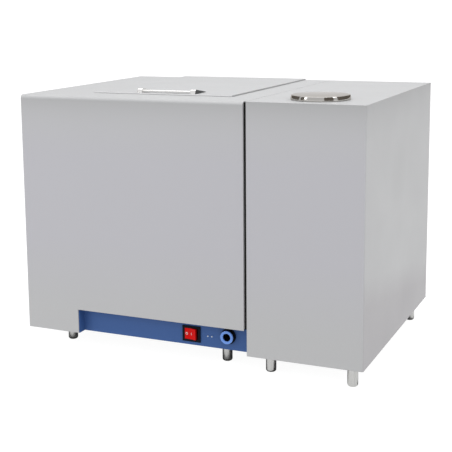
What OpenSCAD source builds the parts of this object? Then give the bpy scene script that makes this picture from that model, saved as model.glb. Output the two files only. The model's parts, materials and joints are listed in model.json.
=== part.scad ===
// Laboratory water bath built from two sheet-metal housings on short round feet.
// The wide housing holds a stainless tank under a hinged lid; the narrow tower holds
// a make-up water reservoir under a lift-off metal cap, and the electrics behind it.
// Front is -Y, up is +Z, and the origin is on the floor under the middle.

/* [Cabinet] */
// Width across both housings
cab_w = 590; // [586:1:600]
// Depth of the housings, front face to rear face
cab_d = 430; // [426:1:440]
// Height of the housings above their feet
cab_h = 400; // [396:1:406]
// Width of the reservoir tower
tower_w = 188; // [186:1:192]
// Gap between the two front panels
gap = 4; // [3:0.5:6]
// Sheet thickness of the casings
sheet = 1.5; // [1.2:0.1:1.5]
// Outside bend radius of the bath housing's front top edge
bend_r = 6; // [4:0.5:8]
// Corner radius of the tower's upright front edges
tower_r = 3; // [2.5:0.5:5]

/* [Feet] */
// Height of the feet
foot_h = 30; // [26:1:34]
// Diameter of the feet
foot_d = 16.5; // [15:0.5:19]

/* [Control strip] */
// Width of the recess cut in the bath housing's front
recess_w = 300; // [296:1:304]
// Height of the recess
recess_h = 40.5; // [40:0.5:44]
// Depth of the recess behind the front face
recess_d = 18; // [16:1:20]
// Diameter of the push-in drain fitting's body
fitting_d = 25; // [24:0.5:27]
// Outside diameter of the tube that the drain fitting takes
tube_d = 12; // [11.8:0.1:12.2]

/* [Lid] */
// Width of the bath lid
lid_w = 252.5; // [250:0.5:256]
// Depth of the bath lid
lid_d = 363.5; // [359:0.5:365]
// Distance from the cabinet's left side to the lid
lid_inset = 101; // [97:1:103]
// Height of the handle above the lid
handle_h = 6.6; // [6:0.2:8]
// Length of the handle
handle_w = 105; // [100:1:120]

/* [Tank and reservoir] */
// Depth of the tank below the deck
tank_depth = 280; // [276:1:284]
// Diameter of the reservoir cap
cap_d = 92.4; // [92:0.2:94]
// Height of the reservoir cap above the deck
cap_h = 7.6; // [7:0.2:9]
// Outside diameter of the reservoir vessel
vessel_d = 134; // [130:1:135]

/* [Hidden] */
$fn = 64;
run = 0.3;           // clearance between pieces that move past each other
braze = 0.03;        // joint between pieces that are brazed or welded to each other
seam = 0.8;          // open line between the two decks
hinge_out = 7.7;     // how far the hinge knuckles stand behind the cabinet

left_x = -cab_w / 2;
right_x = cab_w / 2;
tower_x = right_x - tower_w;
panel_x = tower_x - gap;
front_y = -(cab_d + hinge_out) / 2;
rear_y = front_y + cab_d;
floor_z = foot_h;
top_z = foot_h + cab_h;
in_front = front_y + sheet;
in_rear = rear_y - sheet;
deck_under = top_z - sheet;
base_top = floor_z + sheet;
flange = 12;         // width of the folded flanges that the rear panels screw to

recess_x = panel_x - recess_w;
recess_top = floor_z + recess_h;
strip_y = front_y + recess_d;
switch_x = left_x + 300;
switch_z = floor_z + 18.7;
light_x = [left_x + 328.6, left_x + 335.8];
light_z = floor_z + 18;
light_r = 1.25;
fitting_x = left_x + 365;
fitting_z = floor_z + 22.8;

lid_x = left_x + lid_inset;
lid_y = rear_y - 0.5 - lid_d;
lid_top = top_z + 2.2;
lid_skin = 1.2;
lid_under = lid_top - lid_skin;
mouth_a = [lid_x + 15, lid_y + 15];                    // tank opening in the deck
mouth_b = [lid_x + lid_w - 15, lid_y + lid_d - 32];
mouth_r = 10;
plug_gap = 3;
plug_z = top_z - 22;
knuckle_r = 3.4;
hinge_y = rear_y + hinge_out - knuckle_r;
hinge_z = top_z - 1.5;
hinge_pin_r = 1.5;
hinge_len = 50;
hinge_xs = [lid_x + 30, lid_x + lid_w - 30 - hinge_len];

handle_x = left_x + 183;
handle_y = lid_y + 2;
handle_d = 43;
handle_block_w = 9;
handle_rear_h = 1;
handle_bar_z = 1.4;  // space under the bar
handle_bar_h = 3.3;
handle_screw_ys = [20, 32];

tank_t = 1.2;
tank_a = [mouth_a[0] - 2, mouth_a[1] - 2];
tank_b = [mouth_b[0] + 2, mouth_b[1] + 2];
tank_floor = top_z - tank_depth;
foam_z = tank_floor - 25;
foam_a = [tank_a[0] - 28, tank_a[1] - 28];
foam_b = [tank_b[0] + 28, in_rear - 0.6];
tray_z = tank_floor + 40;
heater_z = tank_floor + 18;
heater_r = 4;
heater_ys = [-90, 90];
probe_y = 130;
float_x = tank_a[0] + 20;
float_y = tank_b[1] - 38;
float_z = top_z - 96;
float_travel = 18;
drain_x = left_x + 315;
drain_y = front_y + 109;
outlet_r = 4.5;      // bore of the tank's and reservoir's pipe ends
hose_wall = 3;

port_x = left_x + 498;
port_y = front_y + 71;
neck_r = 37.2;
cap_r = 3;           // rounding of the cap's top edge
vessel_z = floor_z + 110;
vessel_top = top_z - 42;
shoulder_h = 14;

pump_y = 60;
pump_z = floor_z + 45;
pump_face = -86;     // where the motor meets the pump head
outlet_xy = [[drain_x, drain_y], [pump_face + 12, pump_y]];
spill_z = top_z - 35;
fan_x = (tower_x + right_x) / 2;
fan_z = top_z - 100;
fan_depth = 25;
fan_y = in_rear - fan_depth;
inlet_x = tower_x + 32;
inlet_z = floor_z + 60;
link_y = port_y;     // overflow hose crosses between the housings here
link_z = top_z - 65;
wire_y = -60;

screw_zs = [floor_z + 40, floor_z + 200, floor_z + 360];
screw_xs = [left_x + sheet + flange / 2, panel_x - sheet - flange / 2,
            tower_x + sheet + flange / 2, right_x - sheet - flange / 2];
foot_r = 4;          // rounding of the feet's lower edge
foot_xy = [[left_x + 56, front_y + 50], [left_x + 349, front_y + 50],
           [left_x + 56, rear_y - 50], [left_x + 349, rear_y - 50],
           [tower_x + 30.5, front_y + 30], [right_x - 20.5, front_y + 17],
           [tower_x + 30.5, rear_y - 50], [right_x - 17.5, rear_y - 53]];

casing = [0.84, 0.85, 0.85];
steel = [0.78, 0.78, 0.77];
black = [0.07, 0.07, 0.08];
foam = [0.92, 0.90, 0.82];

// ---------- shared shapes ----------

// Box between two opposite corners
module block(a, b) translate(a) cube(b - a);

// Flat rectangle between two corners, with round corners
module round_rect(a, b, r) {
    translate([a[0] + r, a[1]]) square([b[0] - a[0] - 2 * r, b[1] - a[1]]);
    translate([a[0], a[1] + r]) square([b[0] - a[0], b[1] - a[1] - 2 * r]);
    for (x = [a[0] + r, b[0] - r], y = [a[1] + r, b[1] - r])
        translate([x, y]) circle(r);
}

// Upright block with round upright edges
module round_block(a, b, r)
    translate([0, 0, a[2]]) linear_extrude(b[2] - a[2]) round_rect(a, b, r);

// Rods along each axis, starting at p
module rod_x(p, r, l) translate(p) rotate([0, 90, 0]) cylinder(r = r, h = l);
module rod_y(p, r, l) translate(p) rotate([-90, 0, 0]) cylinder(r = r, h = l);
module rod_z(p, r, l) translate(p) cylinder(r = r, h = l);

// A shape drawn in (y, z), extruded along X from x0 to x1
module along_x(x0, x1) translate([x0, 0, 0]) rotate([90, 0, 90]) linear_extrude(x1 - x0) children();

function unit(v) = v / norm(v);

// Solid round rod that follows square-cornered points with bends of radius bend
module bent_rod(points, bend, r) {
    last = len(points) - 1;
    for (i = [0 : last - 1]) {
        d = unit(points[i + 1] - points[i]);
        cut_a = i == 0 ? 0 : bend;
        cut_b = i == last - 1 ? 0 : bend;
        span = norm(points[i + 1] - points[i]) - cut_a - cut_b;
        side = abs(d[2]) > 0.5 ? [1, 0, 0] : [0, 0, 1];
        other = cross(d, side);
        p = points[i] + d * cut_a;
        multmatrix([[side[0], other[0], d[0], p[0]], [side[1], other[1], d[1], p[1]],
                    [side[2], other[2], d[2], p[2]], [0, 0, 0, 1]])
            mirror([0, 1, 0]) cylinder(r = r, h = span);
    }
    for (i = [1 : 1 : last - 1]) {
        a = unit(points[i] - points[i - 1]);
        b = unit(points[i + 1] - points[i]);
        c = points[i] - a * bend + b * bend;
        n = cross(-b, a);
        multmatrix([[-b[0], a[0], n[0], c[0]], [-b[1], a[1], n[1], c[1]],
                    [-b[2], a[2], n[2], c[2]], [0, 0, 0, 1]])
            rotate_extrude(angle = 90) translate([bend, 0]) circle(r);
    }
}

// Hose with a bore, along the same kind of path
module hose(points, bend, bore_r) difference() {
    bent_rod(points, bend, bore_r + hose_wall);
    lead = unit(points[0] - points[1]) * 0.01;
    tail = unit(points[len(points) - 1] - points[len(points) - 2]) * 0.01;
    bent_rod([for (i = [0 : len(points) - 1])
        i == 0 ? points[i] + lead : i == len(points) - 1 ? points[i] + tail : points[i]], bend, bore_r);
}

// Pipe between two radii along Z
module pipe_z(p, r_out, r_in, l) difference() {
    rod_z(p, r_out, l);
    rod_z(p - [0, 0, 1], r_in, l + 2);
}

module ring(r_mid, r_wire) rotate_extrude() translate([r_mid, 0]) circle(r_wire, $fn = 24);

// ---------- casings ----------

// Outline of the bent front and deck sheet in (y, z), moved in by i
module cover_section(i, over) {
    r = bend_r - i;
    y0 = front_y + i;
    z1 = top_z - i;
    translate([y0 + r, floor_z - over]) square([rear_y + over - y0 - r, z1 - floor_z + over]);
    translate([y0, floor_z - over]) square([r + 1, z1 - r - floor_z + over]);
    translate([y0 + r, z1 - r]) circle(r);
}

module cover_sheet() difference() {
    cover_section(0, 0);
    cover_section(sheet, 1);
}

// Front panel and deck of the bath housing, bent from one sheet
module bath_cover() color(casing) difference() {
    union() {
        along_x(left_x, panel_x) cover_sheet();
        block([panel_x - 0.01, front_y + bend_r, deck_under], [tower_x - seam, rear_y, top_z]);
        block([panel_x - sheet, in_front - 0.01, recess_top + 2],
              [panel_x, in_front + flange, deck_under - 2]);
    }
    block([recess_x, front_y - 1, floor_z - 1], [panel_x + 1, in_front + 0.5, recess_top]);
    round_block([mouth_a[0], mouth_a[1], deck_under - 1], [mouth_b[0], mouth_b[1], top_z + 1], mouth_r);
}

module screw_holes(xs) for (x = xs, z = screw_zs)
    rod_y([x, in_rear - sheet - 1, z], 2.1, 2 * sheet + 2);

// Left side of the bath housing, with flanges folded inwards
module bath_side_panel() color(casing) difference() {
    union() {
        along_x(left_x, left_x + sheet) intersection() {
            cover_section(sheet, 0);
            translate([front_y, floor_z]) square([in_rear - front_y, cab_h]);
        }
        block([left_x, in_rear - sheet, base_top + 10], [left_x + sheet + flange, in_rear, deck_under - 10]);
        block([left_x, in_front + 4, base_top], [left_x + sheet + flange, in_rear - 4, base_top + sheet]);
    }
    screw_holes([screw_xs[0]]);
}

// Wall between the bath housing and the tower
module bath_partition() color(steel) difference() {
    union() {
        block([panel_x - sheet, strip_y + sheet + 0.5, floor_z], [panel_x, in_rear, deck_under]);
        block([panel_x - sheet - flange, in_rear - sheet, base_top + 10],
              [panel_x, in_rear, deck_under - 10]);
    }
    screw_holes([screw_xs[1]]);
    wall_passages(panel_x - sheet - 1);
}

// Holes for the hoses and wires that cross between the housings
module wall_passages(x) {
    rod_x([x, pump_y, pump_z], 11.5, sheet + 2);
    rod_x([x, link_y, link_z], 10.5, sheet + 2);
    rod_x([x, wire_y, floor_z + 24], 7, sheet + 2);
}

module bath_rear_panel() color(casing) difference() {
    block([left_x, in_rear, floor_z], [panel_x, rear_y, deck_under]);
    screw_holes([screw_xs[0], screw_xs[1]]);
    for (i = [0 : 9], z = [floor_z + 30, floor_z + 55])
        block([left_x + 90 + i * 22, in_rear - 1, z], [left_x + 94 + i * 22, rear_y + 1, z + 16]);
}

module base_tray() color(steel) difference() {
    block([left_x + sheet, in_front, floor_z], [panel_x - sheet, in_rear, base_top]);
    block([recess_x, in_front - 1, floor_z - 1], [panel_x, strip_y + sheet, base_top + 1]);
    for (i = [0 : 3]) rod_z([foot_xy[i][0], foot_xy[i][1], floor_z - 1], 4.5, sheet + 2);
}

// Blue recessed panel along the foot of the bath housing, folded into a trough
module control_strip() color([0.17, 0.29, 0.55]) difference() {
    union() {
        block([recess_x, strip_y, floor_z], [panel_x, strip_y + sheet, recess_top + sheet]);
        block([recess_x, in_front, floor_z], [recess_x + sheet, strip_y + 0.5, recess_top + sheet]);
        block([recess_x, in_front, recess_top], [panel_x, strip_y + 0.5, recess_top + sheet]);
    }
    block([switch_x - 13.6, strip_y - 1, switch_z - 11.1],
          [switch_x + 13.6, strip_y + sheet + 1, switch_z + 11.1]);
    for (x = light_x) rod_y([x, strip_y - 1, light_z], light_r + 0.1, sheet + 2);
    rod_y([fitting_x, strip_y - 1, fitting_z], 10.4, sheet + 2);
}

// Plan of the tower in (x, y), moved in by i and reaching back to y1
module tower_plan(i, y1) {
    round_rect([tower_x + i, front_y + i], [right_x - i, rear_y - 40], tower_r - i);
    translate([tower_x + i, front_y + 20]) square([tower_w - 2 * i, y1 - front_y - 20]);
}

module tower_shell() color(casing) difference() {
    union() {
        translate([0, 0, floor_z]) linear_extrude(cab_h - sheet) difference() {
            tower_plan(0, in_rear);
            tower_plan(sheet, rear_y);
        }
        translate([0, 0, deck_under]) linear_extrude(sheet) tower_plan(0, rear_y);
        for (x = [tower_x, right_x - sheet - flange])
            block([x, in_rear - sheet, base_top + 10], [x + sheet + flange, in_rear, deck_under - 10]);
    }
    rod_z([port_x, port_y, deck_under - 1], neck_r + tank_t + 0.3, sheet + 2);
    wall_passages(tower_x - 1);
    screw_holes([screw_xs[2], screw_xs[3]]);
}

module tower_rear_panel() color(casing) difference() {
    block([tower_x, in_rear, floor_z], [right_x, rear_y, deck_under]);
    screw_holes([screw_xs[2], screw_xs[3]]);
    rod_y([fan_x, in_rear - 1, fan_z], 38.5, sheet + 2);
    for (x = [-1, 1], z = [-1, 1])
        rod_y([fan_x + x * 35.75, in_rear - 1, fan_z + z * 35.75], 2.2, sheet + 2);
    block([inlet_x - 13.9, in_rear - 1, inlet_z - 23.4], [inlet_x + 13.9, rear_y + 1, inlet_z + 23.4]);
}

module tower_base() color(steel) difference() {
    block([tower_x + sheet, in_front + 1.5, floor_z], [right_x - sheet, in_rear, base_top]);
    for (i = [4 : 7]) rod_z([foot_xy[i][0], foot_xy[i][1], floor_z - 1], 4.5, sheet + 2);
}

// Black rubber profile that closes the gap between the two front panels
module joint_strip() color(black) {
    block([panel_x, front_y + 5, recess_top + 1], [tower_x, strip_y + 10, deck_under - 0.2]);
    block([panel_x, strip_y + 2, floor_z + 0.5], [tower_x, strip_y + 10, recess_top + 1.01]);
}

// ---------- bath lid ----------

module lid_panel() color(casing) difference() {
    round_block([lid_x, lid_y, top_z + 0.4], [lid_x + lid_w, lid_y + lid_d, lid_top], 3);
    round_block([lid_x + lid_skin, lid_y + lid_skin, top_z - 1],
                [lid_x + lid_w - lid_skin, lid_y + lid_d - lid_skin, lid_under], 1.8);
    for (x = hinge_xs)
        block([x - 1, lid_y + lid_d - lid_skin - 0.5, top_z - 1], [x + hinge_len + 1, rear_y + 1, lid_under]);
    for (p = handle_holes()) rod_z([p[0], p[1], lid_under - 1], 2.2, lid_skin + 2);
}

module lid_liner() color(steel) difference() {
    union() {
        round_block([mouth_a[0] + plug_gap, mouth_a[1] + plug_gap, plug_z],
                    [mouth_b[0] - plug_gap, mouth_b[1] - plug_gap, lid_under - 0.4], mouth_r - plug_gap);
        round_block([mouth_a[0] - 4, mouth_a[1] - 4, lid_under - 0.5],
                    [mouth_b[0] + 4, mouth_b[1] + 4, lid_under], mouth_r);
    }
    round_block([mouth_a[0] + plug_gap + 0.8, mouth_a[1] + plug_gap + 0.8, plug_z + 0.8],
                [mouth_b[0] - plug_gap - 0.8, mouth_b[1] - plug_gap - 0.8, lid_under + 1],
                mouth_r - plug_gap - 0.8);
    for (p = handle_holes()) rod_z([p[0], p[1], lid_under - 3], 4.5, 4);
}

module lid_insulation() color(foam) difference() {
    round_block([mouth_a[0] + plug_gap + 1.2, mouth_a[1] + plug_gap + 1.2, plug_z + 0.8],
                [mouth_b[0] - plug_gap - 1.2, mouth_b[1] - plug_gap - 1.2, lid_under],
                mouth_r - plug_gap - 1.2);
    for (p = handle_holes()) rod_z([p[0], p[1], lid_under - 4], 4.5, 5);
}

module lid_gasket() color([0.80, 0.80, 0.78]) difference() {
    round_block([lid_x + 2, lid_y + 2, top_z + 0.2], [lid_x + lid_w - 2, mouth_b[1] + 12.5, lid_under], 4);
    round_block([lid_x + 10, lid_y + 10, top_z - 1],
                [lid_x + lid_w - 10, mouth_b[1] + 4.5, lid_under + 1], mouth_r);
}

// Screw places under the handle's end arms
function handle_holes() = [for (x = [handle_block_w / 2, handle_w - handle_block_w / 2],
                                y = handle_screw_ys) [handle_x + x, handle_y + y]];

// Side view of an end arm in (y, z): steep sloping front, falling away to the rear
module handle_side() translate([handle_y, lid_top])
    polygon([[0, 0], [0.4, 1.2], [2, handle_h - 1], [3.2, handle_h], [7.5, handle_h],
             [handle_d - 1.5, handle_rear_h], [handle_d, 0]]);

// Two end arms, and a rounded bar brazed between them clear of the lid below it
module lid_handle() color([0.88, 0.88, 0.88]) difference() {
    union() {
        for (x = [handle_x, handle_x + handle_w - handle_block_w])
            along_x(x, x + handle_block_w) handle_side();
        along_x(handle_x + handle_block_w + braze, handle_x + handle_w - handle_block_w - braze)
            round_rect([handle_y + 2.2, lid_top + handle_bar_z],
                       [handle_y + 8.2, lid_top + handle_bar_z + handle_bar_h], 1.4);
    }
    for (p = handle_holes()) rod_z([p[0], p[1], lid_top - 1], 1.65, 3);
}

module handle_screws() color(steel) for (p = handle_holes()) {
    rod_z([p[0], p[1], lid_under - 2.2], 3.4, 2.2);
    rod_z([p[0], p[1], lid_under - 0.01], 1.6, lid_skin + 1.8);
}

// Knuckle of a lid hinge between two places along its length
module knuckle(x, a, b) difference() {
    union() {
        rod_x([x + a, hinge_y, hinge_z], knuckle_r, b - a);
        children();
    }
    rod_x([x + a - 1, hinge_y, hinge_z], hinge_pin_r + 0.05, b - a + 2);
}

module hinge_lid_leaves() color(steel) for (x = hinge_xs)
    knuckle(x, 16.4, 33.6) {
        block([x + 16.4, rear_y - 1, top_z + 0.2], [x + 33.6, hinge_y - 0.5, lid_under]);
        block([x, mouth_b[1] + 14, top_z + 0.2], [x + hinge_len, rear_y - 0.9, lid_under]);
    }

module hinge_body_leaves() color(steel) for (x = hinge_xs) {
    block([x, rear_y, hinge_z - 34], [x + hinge_len, rear_y + 1.4, hinge_z - 5]);
    for (k = [[0, 16], [34, 50]]) knuckle(x, k[0], k[1])
        block([x + k[0], rear_y, hinge_z - 5.01], [x + k[1], rear_y + 1.4, hinge_z + 0.5]);
    for (i = [8, 42], z = [hinge_z - 26, hinge_z - 14])
        rod_y([x + i, rear_y + 1.39, z], 2.6, 1.3);
}

module hinge_pins() color(steel) for (x = hinge_xs)
    rod_x([x + 0.5, hinge_y, hinge_z], hinge_pin_r, hinge_len - 1);

// ---------- tank and what stands in it ----------

module bath_tank() color(steel) difference() {
    union() {
        round_block([tank_a[0] - tank_t, tank_a[1] - tank_t, tank_floor - tank_t],
                    [tank_b[0] + tank_t, tank_b[1] + tank_t, deck_under], mouth_r + 2 + tank_t);
        round_block([tank_a[0] - 12, tank_a[1] - 12, deck_under - tank_t],
                    [tank_b[0] + 12, tank_b[1] + 12, deck_under], 14);
    }
    round_block([tank_a[0], tank_a[1], tank_floor], [tank_b[0], tank_b[1], deck_under + 1], mouth_r + 2);
    for (p = outlet_xy) rod_z([p[0], p[1], tank_floor - 3], outlet_r, 5);
    rod_x([tank_b[0] - 1, link_y + 88, spill_z], outlet_r, 5);
    for (y = heater_ys) rod_x([tank_a[0] - 3, y, heater_z], heater_r + 0.3, 5);
    rod_x([tank_a[0] - 3, probe_y, heater_z], 3.3, 5);
}

// Pipe ends welded to the tank and the reservoir, two below the tank's floor and one below
// the reservoir's, and one high on the side of each for the overflow
module pipe_ends() color(steel) {
    for (p = outlet_xy) pipe_z([p[0], p[1], tank_floor - 30], 6, outlet_r, 30 - tank_t);
    pipe_z([port_x, port_y, vessel_z - 20], 7, outlet_r, 20);
    difference() {
        rod_x([tank_b[0] + tank_t, link_y + 88, spill_z], 6, 24 - tank_t);
        rod_x([tank_b[0], link_y + 88, spill_z], outlet_r, 26);
    }
    difference() {
        rod_x([port_x - vessel_d / 2 - 14, port_y, link_z], 6, 16);
        rod_z([port_x, port_y, vessel_z], vessel_d / 2 + 0.05, cab_h);
        rod_x([port_x - vessel_d / 2 - 15, port_y, link_z], outlet_r, 18);
    }
}

// Five boards of insulation round the tank
module tank_insulation() color(foam) {
    low = tank_floor - tank_t - run;
    high = deck_under - tank_t - run;
    x0 = tank_a[0] - tank_t - run;
    x1 = tank_b[0] + tank_t + run;
    y0 = tank_a[1] - tank_t - run;
    y1 = tank_b[1] + tank_t + run;
    difference() {
        block([foam_a[0], foam_a[1], foam_z], [foam_b[0], foam_b[1], low]);
        for (p = outlet_xy) rod_z([p[0], p[1], foam_z - 1], 10, 30);
    }
    difference() {
        block([foam_a[0], foam_a[1], low + run], [x0, foam_b[1], high]);
        for (y = heater_ys) rod_x([foam_a[0] - 1, y, heater_z], 10, 40);
        rod_x([foam_a[0] - 1, probe_y, heater_z], 8, 40);
    }
    difference() {
        block([x1, foam_a[1], low + run], [foam_b[0], foam_b[1], high]);
        rod_x([tank_b[0], link_y + 88, spill_z], 10.6, 40);
    }
    block([x0 + run, foam_a[1], low + run], [x1 - run, y0, high]);
    block([x0 + run, y1, low + run], [x1 - run, foam_b[1], high]);
}

// Perforated shelf on four legs, which keeps vessels off the heater
module perforated_tray() color(steel) {
    difference() {
        round_block([tank_a[0] + 4, tank_a[1] + 4, tray_z],
                    [tank_b[0] - 4, tank_b[1] - 4, tray_z + 1.2], 8);
        for (i = [-4 : 4], j = [-6 : 6])
            rod_z([(tank_a[0] + tank_b[0]) / 2 + i * 22, (tank_a[1] + tank_b[1]) / 2 + j * 22, tray_z - 1],
                  5, 4);
    }
    for (x = [tank_a[0] + 22, tank_b[0] - 22], y = [tank_a[1] + 24, tank_b[1] - 30])
        rod_z([x, y, tank_floor], 4, tray_z - tank_floor - braze);
}

module heater_element() color([0.62, 0.60, 0.58])
    bent_rod([[foam_a[0] - 8, heater_ys[0], heater_z], [tank_b[0] - 34, heater_ys[0], heater_z],
              [tank_b[0] - 34, heater_ys[1], heater_z], [foam_a[0] - 8, heater_ys[1], heater_z]],
             24, heater_r);

module heater_glands() color([0.72, 0.60, 0.32])
    for (y = heater_ys, x = [tank_a[0] - tank_t - 6, tank_a[0]]) difference() {
        translate([x, y, heater_z]) rotate([0, 90, 0]) cylinder(r = 9, h = x < tank_a[0] ? 6 : 4, $fn = 6);
        rod_x([x - 1, y, heater_z], heater_r + 0.05, 8);
    }

module temperature_probe() color(steel) {
    rod_x([foam_a[0] - 6, probe_y, heater_z], 3, 108);
    rod_x([tank_a[0], probe_y, heater_z], 6, 4);
}

module float_switch_stem() color([0.86, 0.86, 0.84]) {
    block([tank_a[0], float_y - 12, float_z + 50], [tank_a[0] + 1.5, float_y + 12, float_z + 72]);
    block([tank_a[0], float_y - 8, float_z + 56], [float_x + 9, float_y + 8, float_z + 58]);
    rod_z([float_x, float_y, float_z - 4], 3.6, 62);
    rod_z([float_x, float_y, float_z - 4], 6, 4 - run);
    rod_z([float_x, float_y, float_z + 30 + float_travel + 0.5], 6, 4);
}

module float_switch_float() color([0.93, 0.93, 0.90]) difference() {
    rotate_extrude_at([float_x, float_y, float_z]) {
        square([10, 30]);
        translate([0, 3]) square([13, 24]);
        for (z = [3, 27]) translate([10, z]) circle(3);
    }
    rod_z([float_x, float_y, float_z - 1], 4, 32);
}

module rotate_extrude_at(p) translate(p) rotate_extrude() children();

// ---------- drain ----------

module drain_hose() color([0.75, 0.78, 0.78])
    hose([[drain_x, drain_y, tank_floor - 10], [drain_x, drain_y, fitting_z],
          [fitting_x, drain_y, fitting_z], [fitting_x, strip_y + 26, fitting_z]], 18, 6.1);

socket_r = tube_d / 2 + 0.1;

module drain_fitting_body() color(black) difference() {
    union() {
        rod_y([fitting_x, strip_y - 4, fitting_z], fitting_d / 2, 4);
        rod_y([fitting_x, strip_y - 0.01, fitting_z], 10.2, 22.01);
        rod_y([fitting_x, strip_y + 20, fitting_z], 6, 25);
    }
    rod_y([fitting_x, strip_y - 5, fitting_z], 8.6, 9);
    rod_y([fitting_x, strip_y, fitting_z], socket_r, 18);
    rod_y([fitting_x, strip_y, fitting_z], 4.5, 50);
}

module drain_fitting_nut() color(black) difference() {
    translate([fitting_x, strip_y + sheet, fitting_z]) rotate([-90, 0, 0]) cylinder(r = 14, h = 5, $fn = 6);
    rod_y([fitting_x, strip_y, fitting_z], 10.25, 10);
}

// Blue ring that is pressed in to free the tube
module drain_release_collar() color([0.30, 0.52, 0.95]) difference() {
    union() {
        rod_y([fitting_x, strip_y - 10, fitting_z], 11.8, 4.5);
        rod_y([fitting_x, strip_y - 5.51, fitting_z], 8.3, 5);
    }
    rod_y([fitting_x, strip_y - 11, fitting_z], socket_r + 0.2, 12);
}

module drain_o_ring() color([0.1, 0.1, 0.1])
    translate([fitting_x, strip_y + 2.4, fitting_z]) rotate([-90, 0, 0]) ring(7.35, 1.05);

// ---------- switch and lights ----------

pivot_y = strip_y + 4.5;
rocker_tilt = 9;

module switch_housing() color(black) difference() {
    union() {
        block([switch_x - 15.8, strip_y - 2, switch_z - 13], [switch_x + 15.8, strip_y, switch_z + 13]);
        block([switch_x - 13.4, strip_y - 0.5, switch_z - 10.9],
              [switch_x + 13.4, strip_y + 28, switch_z + 10.9]);
        for (x = [switch_x - 8, switch_x + 8], z = [switch_z - 5, switch_z + 5])
            block([x - 3, strip_y + 27, z - 0.4], [x + 3, strip_y + 36, z + 0.4]);
    }
    block([switch_x - 11.6, strip_y - 3, switch_z - 9.2],
          [switch_x + 11.6, strip_y + 14, switch_z + 9.2]);
    rod_z([switch_x, pivot_y, switch_z - 10.4], 1.55, 20.8);
}

// Red rocker, shown with its left half pressed in
module switch_rocker() color([0.85, 0.07, 0.06])
    translate([switch_x, pivot_y, switch_z]) rotate([0, 0, -rocker_tilt]) {
        translate([0, 0, -9]) linear_extrude(18)
            polygon([[-10.2, -8.4], [-3.5, -7.3], [0, -7], [3.5, -7.3], [10.2, -8.4], [9, -2], [4, 2.5],
                     [-4, 2.5], [-9, -2]]);
        cylinder(r = 1.5, h = 20.4, center = true);
    }

module indicator_lights() color([0.90, 0.93, 0.98]) for (x = light_x) {
    translate([x, strip_y - 0.6, light_z]) sphere(light_r);
    rod_y([x, strip_y - 0.6, light_z], light_r, 6);
    rod_y([x, strip_y + sheet + 0.1, light_z], light_r + 0.4, 3);
}

// ---------- reservoir ----------

// Drum of the reservoir, open at the top
module reservoir_vessel() color(steel) difference() {
    rod_z([port_x, port_y, vessel_z], vessel_d / 2, vessel_top - vessel_z);
    rod_z([port_x, port_y, vessel_z + tank_t], vessel_d / 2 - tank_t, vessel_top - vessel_z);
    rod_z([port_x, port_y, vessel_z - 1], outlet_r, 4);
    rod_x([port_x - vessel_d / 2 - 1, port_y, link_z], outlet_r, 10);
}

// Half section of the shoulder and neck in (radius, height), moved in by i
module shoulder_section(i, over) {
    shoulder_z = vessel_top + shoulder_h;
    polygon([[0, vessel_top - over], [vessel_d / 2 - i, vessel_top - over],
        [vessel_d / 2 - i, vessel_top + 0.8 - i * 0.4], [neck_r + tank_t - i, shoulder_z - i * 0.4],
        [neck_r + tank_t - i, top_z + over], [0, top_z + over]]);
}

// Cone and neck welded on top of the drum
module reservoir_shoulder() color(steel) rotate_extrude_at([port_x, port_y, 0]) difference() {
    shoulder_section(0, 0);
    shoulder_section(tank_t, 1);
}

module reservoir_collar() color([0.85, 0.85, 0.85]) difference() {
    rod_z([port_x, port_y, top_z], 43.5, 3);
    rod_z([port_x, port_y, top_z - 1], neck_r, 5);
}

module cap_disc() color([0.88, 0.88, 0.88]) rotate_extrude_at([port_x, port_y, top_z]) {
    difference() {
        union() {
            square_at([0, 0.4], [cap_d / 2, cap_h - 0.4 - cap_r]);
            square_at([0, cap_h - cap_r - 0.1], [cap_d / 2 - cap_r, cap_r + 0.1]);
            translate([cap_d / 2 - cap_r, cap_h - cap_r]) circle(cap_r);
        }
        square_at([0, -1], [cap_d / 2 - 1.8, cap_h - 1]);
    }
}

module square_at(p, s) translate(p) square(s);

module cap_plug() color([0.95, 0.95, 0.94]) rotate_extrude_at([port_x, port_y, top_z]) difference() {
    union() {
        square_at([0, -18], [neck_r - 0.7, 18 + cap_h - 2]);
        square_at([0, 3.1], [43, cap_h - 5.1]);
    }
    square_at([neck_r - 2.4, -6], [5, 2.8]);
}

module cap_o_ring() color([0.16, 0.16, 0.17])
    translate([port_x, port_y, top_z - 4.6]) ring(neck_r - 1.3, 1);

// ---------- circulation pump ----------

module pump_motor() color([0.35, 0.37, 0.40]) difference() {
    rod_x([pump_face - 64, pump_y, pump_z], 27, 64);
    rod_x([pump_face - 60, pump_y, pump_z], 15.6, 54);
    rod_x([pump_face - 62, pump_y, pump_z], 3.05, 63);
}

module pump_head() color([0.20, 0.22, 0.25]) difference() {
    union() {
        rod_x([pump_face, pump_y, pump_z], 28, 24);
        rod_x([pump_face + 23, pump_y, pump_z], 7, 19);
        rod_z([pump_face + 12, pump_y, pump_z + 20], 6, 20);
    }
    rod_x([pump_face + 2, pump_y, pump_z], 23, 18);
    rod_x([pump_face - 1, pump_y, pump_z], 3.1, 5);
    rod_x([pump_face + 19, pump_y, pump_z], 5, 25);
    rod_z([pump_face + 12, pump_y, pump_z + 15], 4.5, 27);
}

module pump_rotor() color([0.80, 0.80, 0.82]) {
    rod_x([pump_face - 61, pump_y, pump_z], 3, 73);
    rod_x([pump_face - 58, pump_y, pump_z], 15, 50);
    rod_x([pump_face + 4, pump_y, pump_z], 21, 3);
    for (a = [0 : 60 : 300]) translate([0, pump_y, pump_z]) rotate([a, 0, 0])
        block([pump_face + 6.9, -1, 4], [pump_face + 16, 1, 20]);
}

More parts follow.
